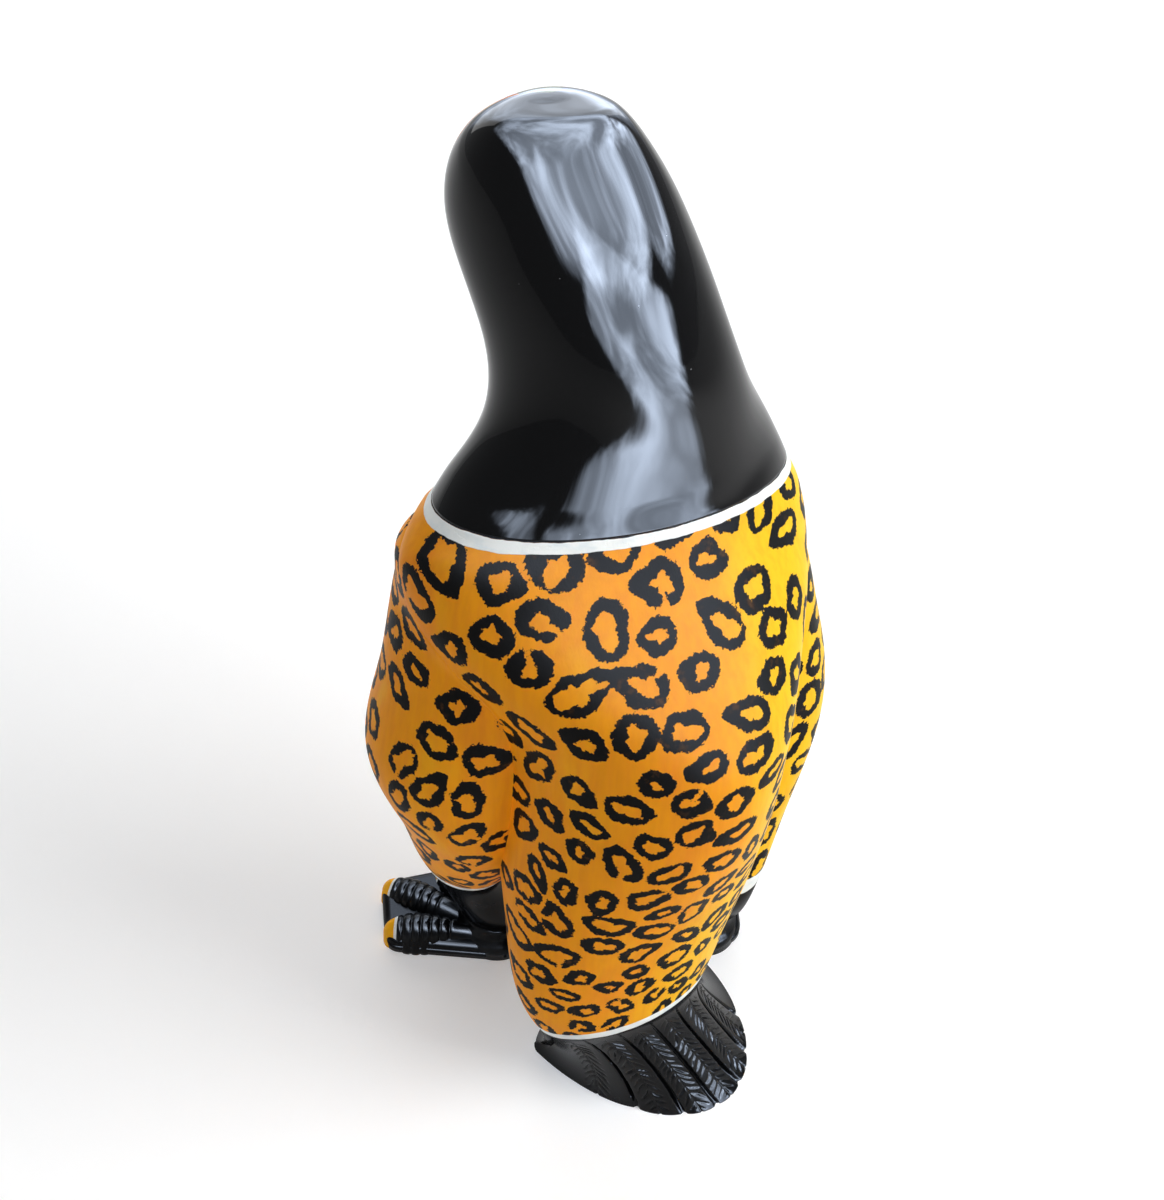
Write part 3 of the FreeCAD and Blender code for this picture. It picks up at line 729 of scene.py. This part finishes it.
NOSTRIL_DEPTH, NOSTRIL_RADIUS = 1.6, 2.6
BEAK_LENGTH, BEAK_RADIUS = 70, 20   # what the nostril's distances are measured with
beak_turn = np.linspace(0, 2 * np.pi, BEAK_COLUMNS, endpoint=False)
beaks = {}
for name, marks in (("upper_beak", UPPER_BEAK_MARKS), ("lower_beak", LOWER_BEAK_MARKS)):
    wall = rings(sections(marks, BEAK_LEVELS), beak_turn)
    along = np.broadcast_to(np.linspace(0, 1, BEAK_LEVELS)[:, None], wall.shape[:2])
    normals = outward(wall)
    wall = pushed(wall, normals, knife_marks(wall, *BEAK_CARVING))
    if name == "upper_beak":
        for sign in (-1, 1):
            pit_turn = np.radians(90 - sign * NOSTRIL_TURN)
            away = np.hypot((along - NOSTRIL_PLACE) * BEAK_LENGTH,
                            (beak_turn - pit_turn)[None] * BEAK_RADIUS)
            wall = pushed(wall, normals, -NOSTRIL_DEPTH * np.exp(-(away / NOSTRIL_RADIUS) ** 2))
    beaks[name] = skin(name + "_block", [marked(wall, along)], ("along",))
    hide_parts(name)

beak_enamel, paint = new_paint("beak_enamel")
along = paint.mark("along") + (paint.mottle(120, 2.0) - 0.5) * 0.05
colour = paint.mottle(60, 3.0, (1, 1, 0.5)).fade(0.4, 0.7).blend(ORANGE, YELLOW)
colour = along.fade(0.66, 0.67).blend(colour, LINE_WHITE)
colour = along.fade(0.71, 0.72).blend(colour, BLACK)
finish(paint, colour, paint.mottle(240, 3.0, (1, 1, 0.3)), 0.0002,
       Roughness=0.4, Specular_IOR_Level=0.2, Coat_Weight=0.5, Coat_Roughness=0.12, Coat_IOR=1.3)
for piece in beaks.values():
    piece.data.materials.append(beak_enamel)

# ---------------------------------------------------------------------------
# Feet: each is one block with a flat web, an instep that takes the shank, and three half-round
# toes. Knife cuts across the toes make the scales, and the claws are painted on the tips.
LEFT_HEADING, RIGHT_HEADING = 34.0, 7.0     # degrees that the feet point outwards
TOE_SPREAD = 24.0                           # degrees between two toes
TOE_ROOT_BACK, TOE_ROOT_OUT = 14.0, 12.0
MIDDLE_TOE_REACH, OUTER_TOE_REACH, INNER_TOE_REACH = 90.0, 78.0, 69.0
TOE_HALF_WIDTH, TOE_HEIGHT = 11.5, 22.0
CLAW_LENGTH = 9.5
TOE_ROWS = [(0.0, 0.9, 0.8), (0.5, 1.0, 1.0), (1.0, 0.95, 0.88)]   # share of length, width, height
CLAW_ROWS = [(0.55, 0.74, 0.72), (0.88, 0.50, 0.54), (1.0, 0.26, 0.42)]
TOE_COLUMNS, TOE_LEVELS, WEB_COLUMNS = 72, 220, 288
WEB_THICKNESS, WEB_SETBACK, WEB_ROUNDING = 12.0, 0.5, 6.0
HEEL_RADIUS, INSTEP_FLARE = 14.0, 3.5
SEAT_HALF_WIDTH, SEAT_HALF_DEPTH = 21.0, 27.0
INSTEP_HEIGHTS = (0.0, 10.0, 12.0, 14.0, 17.0, 20.5, 24.0)
INSTEP_FLARES = (1.6, 1.6, 1.2, 0.7, 0.32, 0.08, 0.0)   # shares of the flare at those heights
SCALE_PITCH, SCALE_COUNT, SCALE_DEPTH = 6.3, 6, 1.3
FIRST_CUT = 3.5              # from the claw's edge to the nearest cut
CUT_HALF_WIDTH = 0.75
CUT_SHARE, DOME_SHARE = 0.6, 0.6            # shares of the depth in the cut and in the dome
SIDE_SHARE = 0.6             # share of it at the toe's sides
NO_CLAW = -9.0               # claw mark of what carries no claw
toe_turn = np.linspace(0, 2 * np.pi, TOE_COLUMNS, endpoint=False)


def turned_by(angle):
    """Matrix that turns level points, written as rows, by an angle."""
    return np.array([[np.cos(angle), np.sin(angle)], [-np.sin(angle), np.cos(angle)]])


def toe_wall(reach):
    """Half-ellipse sections along X, flat underneath, less the cuts: a narrow bell-shaped
    groove across the toe every scale's length, with each scale a little domed between two."""
    knuckle = reach - CLAW_LENGTH
    marks = [(TOE_ROOT_BACK + share * (knuckle - TOE_ROOT_BACK), width, height)
             for share, width, height in TOE_ROWS]
    marks += [(knuckle + share * CLAW_LENGTH, width, height) for share, width, height in CLAW_ROWS]
    marks = np.array(marks)
    x = np.linspace(TOE_ROOT_BACK, reach, TOE_LEVELS)
    wide, high = smooth_curve(marks[:, 0], marks[:, 1:], x).T
    back = (knuckle - FIRST_CUT - x) / SCALE_PITCH
    nearest = np.clip(np.round(back), 0, SCALE_COUNT - 1)
    from_cut = np.abs(back - nearest)
    cut = CUT_SHARE * np.exp(-(from_cut * SCALE_PITCH / CUT_HALF_WIDTH) ** 2)
    cut = SCALE_DEPTH * (cut + DOME_SHARE * np.clip(1 - 2 * from_cut, 0, 1) ** 2)
    across = (TOE_HALF_WIDTH * wide - cut * SIDE_SHARE)[:, None] * np.cos(toe_turn)
    up = (TOE_HEIGHT * high - cut)[:, None] * np.maximum(np.sin(toe_turn), 0)
    along = np.broadcast_to(x[:, None], across.shape)
    claw = np.broadcast_to((x - knuckle)[:, None], across.shape)
    return np.stack([along, across, up, claw], axis=-1)


def web_wall(circles):
    """Slab whose outline is the tight band round the circles: in each direction it runs to the
    circle that reaches furthest that way. Its top edge is rounded."""
    ways = np.linspace(0, 2 * np.pi, WEB_COLUMNS, endpoint=False)
    facing = np.stack([np.cos(ways), np.sin(ways)], axis=1)
    circles = np.array(circles)
    furthest = np.argmax(facing @ circles[:, :2].T + circles[:, 2], axis=1)
    middle, radius = circles[furthest, :2], circles[furthest, 2:]
    bend = np.linspace(0, np.pi / 2, 6)
    insets = np.concatenate([[0, 0], WEB_ROUNDING * (1 - np.cos(bend)),
                             [WEB_ROUNDING, WEB_ROUNDING + 4]])
    heights = np.concatenate([[0, WEB_THICKNESS - WEB_ROUNDING],
                              WEB_THICKNESS - WEB_ROUNDING * (1 - np.sin(bend)),
                              [WEB_THICKNESS, WEB_THICKNESS]])
    flat = middle + facing * (radius - insets[:, None, None])
    up = np.broadcast_to(heights[:, None, None], flat.shape[:2] + (1,))
    return np.concatenate([flat, up, 0 * up + NO_CLAW], axis=-1)


feet = {}
for name, marks, heading, side in (("left_foot", LEFT_LEG_MARKS, LEFT_HEADING, 1),
                                   ("right_foot", RIGHT_LEG_MARKS, RIGHT_HEADING, -1)):
    walls, circles = [], [(0.0, 0.0, HEEL_RADIUS)]
    for reach, spread in ((INNER_TOE_REACH, -TOE_SPREAD), (MIDDLE_TOE_REACH, 0.0),
                          (OUTER_TOE_REACH, TOE_SPREAD)):
        turn = np.radians(side * spread)
        tip = reach - WEB_SETBACK - TOE_HALF_WIDTH
        circles.append((tip * np.cos(turn), tip * np.sin(turn), TOE_HALF_WIDTH))
        wall = toe_wall(reach)
        wall[..., :2] = wall[..., :2] @ turned_by(turn)
        walls.append(wall)
    walls.append(web_wall(circles))
    swing = turned_by(np.radians(side * heading - 90))
    ankle = np.array(marks[-1][:2]) + MOVED[:2]
    for wall in walls:
        wall[..., :2] = (wall[..., :2] + [-TOE_ROOT_BACK, side * TOE_ROOT_OUT]) @ swing + ankle
    flare = INSTEP_FLARE * np.array(INSTEP_FLARES)
    instep = rings(np.stack([ankle[0] + 0 * flare, ankle[1] + 0 * flare, INSTEP_HEIGHTS,
                             SEAT_HALF_WIDTH + flare, SEAT_HALF_DEPTH + flare, 0 * flare],
                            axis=1), toe_turn)
    instep = marked(instep, np.full(instep.shape[:2], NO_CLAW))
    feet[name] = skin(name + "_block", walls + [instep], ("claw",))
    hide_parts(name)

CLAW_YELLOW = (1.0, 0.46, 0.008, 1)
SLATE = (0.030, 0.033, 0.037, 1)
foot_enamel, paint = new_paint("foot_enamel")
claw = paint.mark("claw") + (paint.mottle(300, 2.0) - 0.5) * 0.6
worn = paint.mottle(45, 4.0).fade(0.45, 0.70)
colour = (worn * 0.5).blend(BLACK, SLATE)
colour = claw.fade(-0.1, 0.2).blend(colour, LINE_WHITE)
colour = claw.fade(1.8, 2.1).blend(colour, CLAW_YELLOW)
finish(paint, colour, paint.mottle(260, 4.0), 0.00025,
       **BLACK_COAT, Coat_Weight=0.5, Coat_Roughness=0.17)
for piece in feet.values():
    piece.data.materials.append(foot_enamel)

# ---------------------------------------------------------------------------
# Tail fan: one block glued under the body, with six feathers carved round its back between two
# plain sides. A gouge makes the channels, each shaft line, and the short cuts that sweep down.
TAIL_MARKS = [
    (*TRUNK_MARKS[0], 0.0, 1.0),
    (8.0, 55.0, 40.0, 58.0, 52.0, 24.0, 5.0, 0.55),
    (-1.0, 38.0, 15.0, 62.5, 80.0, 8.0, 11.0, 0.3),
    (-5.0, 24.0, 0.0, 66.0, 104.0, 0.0, 13.5, 0.2),
]                            # after the tilt: turn about Z, and the front half's share of depth
# Degrees round the block at which the sides and the feathers between them start and end.
EDGES_AT_SEAT = np.array([-18.0, 12.0, 41.0, 66.0, 88.0, 109.0, 140.0, 158.0, 172.0])
EDGES_AT_GROUND = np.array([-18.0, 12.0, 43.0, 64.0, 82.5, 102.0, 121.0, 140.0, 172.0])
FAN_COLUMNS, FRONT_COLUMNS = 540, 70
TAIL_LEVELS = 150
CHANNEL_DEPTH = 4.2
CHANNEL_AT_SEAT, CHANNEL_AT_GROUND = 0.7, 1.6      # half widths of the channels
CHANNELS_OPEN = (0.03, 0.4)  # shares of the way down over which the channels get their depth
SHAFTS_OPEN, BARBS_OPEN = (0.12, 0.25), (0.15, 0.32)
BARBS_CLOSE = (0.95, 0.99)
FRONT_SHARE = 0.2            # share of the channels' depth by which the plain front lies lower
FEATHER_ARCH = 0.45          # how far a feather's edges lie below its middle
FLARE_HOLLOW = 7.0           # hollow halfway down, so that the tips turn up
CHANNEL_START = (14, 36)     # degrees over which the channels come in at the left side
FRINGE_DEPTH = 0.9           # how far a feather's corners are cut back at the ground
SHAFT_DEPTH, SHAFT_HALF_WIDTH = 0.8, 0.7
BARB_PITCH, BARB_DEPTH, BARB_REACH = 6.0, 0.8, 9.0
BARB_SWEEP, BARB_STEP = 0.95, 2.3           # slope of the cuts, and their shift at each feather
BARB_HALF_WIDTH = 0.85
PITCH_WANDER = (14, 0.22, 41)               # size, amount and random seed of the cuts' unevenness
DEPTH_WANDER = (18, 0.4, 43)
tail_rows = sections(TAIL_MARKS, TAIL_LEVELS)
fan_turn = np.radians(np.linspace(EDGES_AT_SEAT[0], EDGES_AT_SEAT[-1], FAN_COLUMNS))
front_turn = np.radians(np.linspace(EDGES_AT_SEAT[-1], EDGES_AT_SEAT[0] + 360, FRONT_COLUMNS))
tail_turn = np.concatenate([fan_turn, front_turn[1:-1]])
tilt, swing = np.radians(tail_rows[:, 5]), np.radians(tail_rows[:, 6])
across = np.stack([np.cos(swing), np.sin(swing), 0 * swing], axis=1)
back = np.stack([-np.sin(swing) * np.cos(tilt), np.cos(swing) * np.cos(tilt), np.sin(tilt)],
                axis=1)
deep_share = np.where(np.sin(tail_turn)[None] >= 0, 1.0, tail_rows[:, 7:8])
tail_wall = (tail_rows[:, None, :3]
             + across[:, None] * (tail_rows[:, 3:4] * np.cos(tail_turn))[..., None]
             + back[:, None] * (tail_rows[:, 4:5] * deep_share * np.sin(tail_turn))[..., None])
tail_wall = tail_wall[::-1]
tail_normals = outward(tail_wall)
down = np.linspace(1, 0, TAIL_LEVELS)[:, None]           # 0 at the seat, 1 at the ground
edges = EDGES_AT_SEAT + (EDGES_AT_GROUND - EDGES_AT_SEAT) * down
angle = np.degrees(tail_turn)[None, :, None]
feather = (angle >= edges[:, None, 1:-1]).sum(axis=-1)
in_fan = (angle[..., 0] <= EDGES_AT_SEAT[-1]).astype(float)
steps = np.linalg.norm(tail_wall - np.roll(tail_wall, 1, axis=1), axis=-1)
steps[:, 0] = 0
round_it = np.cumsum(steps, axis=1)
edge_columns = (edges - edges[:, :1]) / (edges[0, -1] - edges[0, 0]) * (FAN_COLUMNS - 1)
edge_places = np.take_along_axis(round_it, np.rint(edge_columns).astype(int), axis=1)
from_left = round_it - np.take_along_axis(edge_places, feather, axis=1)
feather_width = np.take_along_axis(np.diff(edge_places, axis=1), feather, axis=1)
aside = from_left - feather_width / 2                    # millimetres from the feather's shaft
edge = np.clip(feather_width / 2 - np.abs(aside), 0, FAR)
climb = np.linalg.norm(np.diff(tail_wall, axis=0), axis=-1)
drop = np.concatenate([climb[::-1].cumsum(axis=0)[::-1], 0 * climb[:1]])   # along from the seat
open_up = ease(down, *CHANNELS_OPEN)
channel_width = CHANNEL_AT_SEAT + (CHANNEL_AT_GROUND - CHANNEL_AT_SEAT) * down
channel = (CHANNEL_DEPTH * open_up * (0.4 + 0.6 * down) * (1 - 0.75 * ease(down, 0.85, 1))
           * np.exp(-(edge / channel_width) ** 4))
across_share = np.clip(2 * np.abs(aside) / feather_width, 0, 1)
channel += (FEATHER_ARCH * open_up * across_share ** 2
            + FRINGE_DEPTH * down ** 7 * across_share ** 4)
shaft = SHAFT_DEPTH * np.exp(-(aside / SHAFT_HALF_WIDTH) ** 2) * ease(down, *SHAFTS_OPEN)
phase = (drop - np.abs(aside) * BARB_SWEEP + BARB_STEP * feather) / BARB_PITCH
phase += knife_marks(tail_wall, *PITCH_WANDER)
stroke = np.exp(-((phase - np.round(phase)) * BARB_PITCH / BARB_HALF_WIDTH) ** 2)
stroke *= 1 + knife_marks(tail_wall, *DEPTH_WANDER)
reach = np.minimum(BARB_REACH, feather_width / 2 - 2.0) - np.abs(aside)
reach = np.clip((np.abs(aside) - 0.4) / 0.8, 0, 1) * np.clip(reach / 3.5, 0, 1)
barbs = (BARB_DEPTH * stroke * reach * ease(down, *BARBS_OPEN)
         * (1 - ease(down, *BARBS_CLOSE)))
channel *= ease(angle[..., 0], *CHANNEL_START)
is_cut = (feather > 0) & (feather < len(EDGES_AT_SEAT) - 2)
depth = in_fan * (channel + is_cut * (shaft + barbs))
depth += (1 - in_fan) * CHANNEL_DEPTH * open_up * FRONT_SHARE
hollow = FLARE_HOLLOW * 4 * down * (1 - down) * in_fan
tail_wall = pushed(tail_wall, tail_normals, -(depth + hollow))
tail_wall[..., 2] = np.maximum(tail_wall[..., 2], 0)
# The carved depth rides on the mesh as a mark. The enamel uses it to paint shade into the
# channels.
tail = skin("tail_block", [marked(tail_wall, depth)], ("depth",))
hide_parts("tail_fan")

feather_enamel, paint = new_paint("feather_enamel")
worn = paint.mottle(55, 4.0).fade(0.42, 0.72)
colour = (worn * 0.12).blend(BLACK, SLATE)
# Painted shade: the deeper the carving, the nearer the colour goes to plain black, so the channels
# read darker.
colour = (paint.mark("depth").fade(1.2, 3.5) * 0.8).blend(colour, BLACK)
finish(paint, colour, paint.mottle(230, 4.0, (1, 1, 0.5)), 0.00025,
       **BLACK_COAT, Coat_Weight=0.6, Coat_Roughness=0.16)
tail.data.materials.append(feather_enamel)

# ---------------------------------------------------------------------------
# Dowels: plain hardwood rods inside the joints. Nothing of them shows.
DOWEL_PALE, DOWEL_DARK = (0.60, 0.43, 0.25, 1), (0.42, 0.27, 0.14, 1)
dowel_wood, paint = new_paint("dowel_wood")
grain = paint.mottle(90, 4.0, (4.0, 4.0, 0.5))
finish(paint, grain.fade(0.35, 0.70).blend(DOWEL_PALE, DOWEL_DARK), grain, 0.0002, Roughness=0.7)
for name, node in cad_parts.items():
    if "dowel" in name:
        node.data.materials.clear()
        node.data.materials.append(dowel_wood)

# ---------------------------------------------------------------------------
# Floor, light and camera: a plain pale floor, three broad soft lights, five cloth-covered cards
# that only show as reflections in the gloss, and the view down onto the back.
FLOOR_COLOUR = (0.88, 0.88, 0.88, 1)
FLOOR_LIFT = 0.23            # glow that makes the floor white to the eye and in reflections
WORLD_COLOUR, WORLD_STRENGTH = (0.95, 0.97, 1.0, 1), 0.33
CARD_COLOUR = (0.75, 0.88, 1.10, 1)
bpy.ops.mesh.primitive_plane_add(size=14)
floor = bpy.context.object
floor.name = "floor"
floor_paint, paint = new_paint("floor_paint")
shader = paint.node("BsdfPrincipled", {"Base Color": FLOOR_COLOUR, "Roughness": 0.9,
                                       "Specular IOR Level": 0.0})
seen = (paint.node("LightPath", {}, output="Is Camera Ray")
        + paint.node("LightPath", {}, output="Is Glossy Ray"))
glow = paint.node("Emission", {"Color": (1, 1, 1, 1), "Strength": seen * FLOOR_LIFT})
paint.node("OutputMaterial", {"Surface": shader.node("AddShader", {0: shader, 1: glow})})
floor.data.materials.append(floor_paint)

world = bpy.data.worlds.new("studio")
bpy.context.scene.world = world
world.use_nodes = True
background = world.node_tree.nodes["Background"]
background.inputs["Color"].default_value = WORLD_COLOUR
background.inputs["Strength"].default_value = WORLD_STRENGTH


def softbox(name, azimuth, elevation, distance, target, width, height, radiance, roll=0.0,
            **seen_by):
    """Rectangle light of one radiance, placed round the target, turned to face it and then
    rolled. Its power is the radiance times its area times pi."""
    data = bpy.data.lights.new(name, "AREA")
    data.shape = "RECTANGLE"
    data.size, data.size_y = width, height
    data.energy = radiance * width * height * np.pi
    lamp = bpy.data.objects.new(name, data)
    bpy.context.scene.collection.objects.link(lamp)
    a, e = np.radians(azimuth), np.radians(elevation)
    away = Vector((np.sin(a) * np.cos(e), -np.cos(a) * np.cos(e), np.sin(e)))
    lamp.location = Vector(target) + away * distance
    facing = away.to_track_quat("Z", "Y").to_matrix() @ Matrix.Rotation(np.radians(roll), 3, "Z")
    lamp.rotation_euler = facing.to_euler()
    lamp.visible_camera = False
    for ray, value in seen_by.items():
        setattr(lamp, ray, value)
    return data


def soft_edges(lamp, edge, clouds, far):
    """A cloth-covered light: it fades out over its uneven edges, and patches of it are brighter.
    clouds is how many patches there are across it and up it, and far the share of its strength
    that is left at its upper side."""
    lamp.use_nodes = True
    lamp.node_tree.nodes.clear()
    cloth = Paint(lamp.node_tree)
    spot = cloth.node("NewGeometry", {}, output="Parametric")
    patches = spot.node("Mapping", {0: spot, 3: (*clouds, 1)})
    uneven = patches.node("TexNoise", {"Vector": patches, "Detail": 5.0, "Distortion": 0.6,
                                       "Scale": 1.0})
    frayed = (uneven.node("TexNoise", {"Vector": patches, "Scale": 6.0}) - 0.5) * 0.10
    across = spot.axis("X") + frayed
    up = spot.axis("Y") + frayed
    strength = (across.fade(0, edge) * (1 - across.fade(1 - edge, 1))
                * up.fade(0, edge) * (1 - up.fade(1 - edge, 1))
                * (1 - up.fade(0.3, 0.95) * (1 - far)))
    glow = cloth.node("Emission", {"Color": CARD_COLOUR,
                                   "Strength": strength * (uneven.fade(0.36, 0.66) * 1.1 + 0.40)})
    cloth.node("OutputLight", {"Surface": glow})


MIDDLE = (0.0, 0.0, 0.33)
softbox("key", -135, 37, 2.4, MIDDLE, 1.5, 1.2, 8.3, visible_glossy=False)
softbox("overhead", 160, 82, 3.4, MIDDLE, 4.6, 4.6, 0.42)
softbox("front", -22, 20, 2.6, (0.0, 0.0, 0.40), 3.6, 1.5, 1.6)
for name, *placing, edge, clouds, far in (
        ("back_card", -168, 0, 0.85, (0.179, 0.038, 0.672), 1.67, 0.81, 30.0, -29.0,
         0.12, (2.5, 2.0), 1.0),
        ("tail_card", -168, 0, 0.85, (-0.245, -0.052, 0.03), 0.80, 0.22, 30.0, 0.0,
         0.2, (1.2, 1.0), 1.0),
        ("side_card", -98, 23, 1.2, (0.0, 0.0, 0.55), 1.35, 0.70, 19.0, 0.0,
         0.22, (3.0, 3.0), 1.0),
        ("sky_card", 170, 80, 1.0, (0.0, -0.22, 0.55), 3.6, 4.3, 36.0, 0.0,
         0.14, (4.0, 3.0), 0.08),
        ("front_card", -30, 20, 1.6, (0.0, 0.0, 0.58), 2.6, 1.9, 5.5, 0.0,
         0.3, (3.0, 2.0), 1.0)):
    soft_edges(softbox(name, *placing, visible_diffuse=False), edge, clouds, far)

VIEW_AZIMUTH, VIEW_ELEVATION, VIEW_ROLL = 147.3, 41.8, 3.5
VIEW_DISTANCE, VIEW_LENS = 0.863, 49.0
VIEW_TARGET = Vector((0.0198, -0.0037, 0.3287))
camera_data = bpy.data.cameras.new("camera")
camera_data.lens = VIEW_LENS
camera = bpy.data.objects.new("camera", camera_data)
bpy.context.scene.collection.objects.link(camera)
a, e, roll = np.radians([VIEW_AZIMUTH, VIEW_ELEVATION, VIEW_ROLL])
backward = Vector((np.sin(a) * np.cos(e), -np.cos(a) * np.cos(e), np.sin(e)))
rightward = (-backward).cross(Vector((0, 0, 1))).normalized()
upward = backward.cross(rightward)
turned_right = rightward * np.cos(roll) + upward * np.sin(roll)
turned_up = upward * np.cos(roll) - rightward * np.sin(roll)
facing = Matrix((turned_right, turned_up, backward)).transposed().to_4x4()
camera.matrix_world = Matrix.Translation(VIEW_TARGET + backward * VIEW_DISTANCE) @ facing
bpy.context.scene.camera = camera
bpy.context.scene.view_settings.view_transform = "Standard"
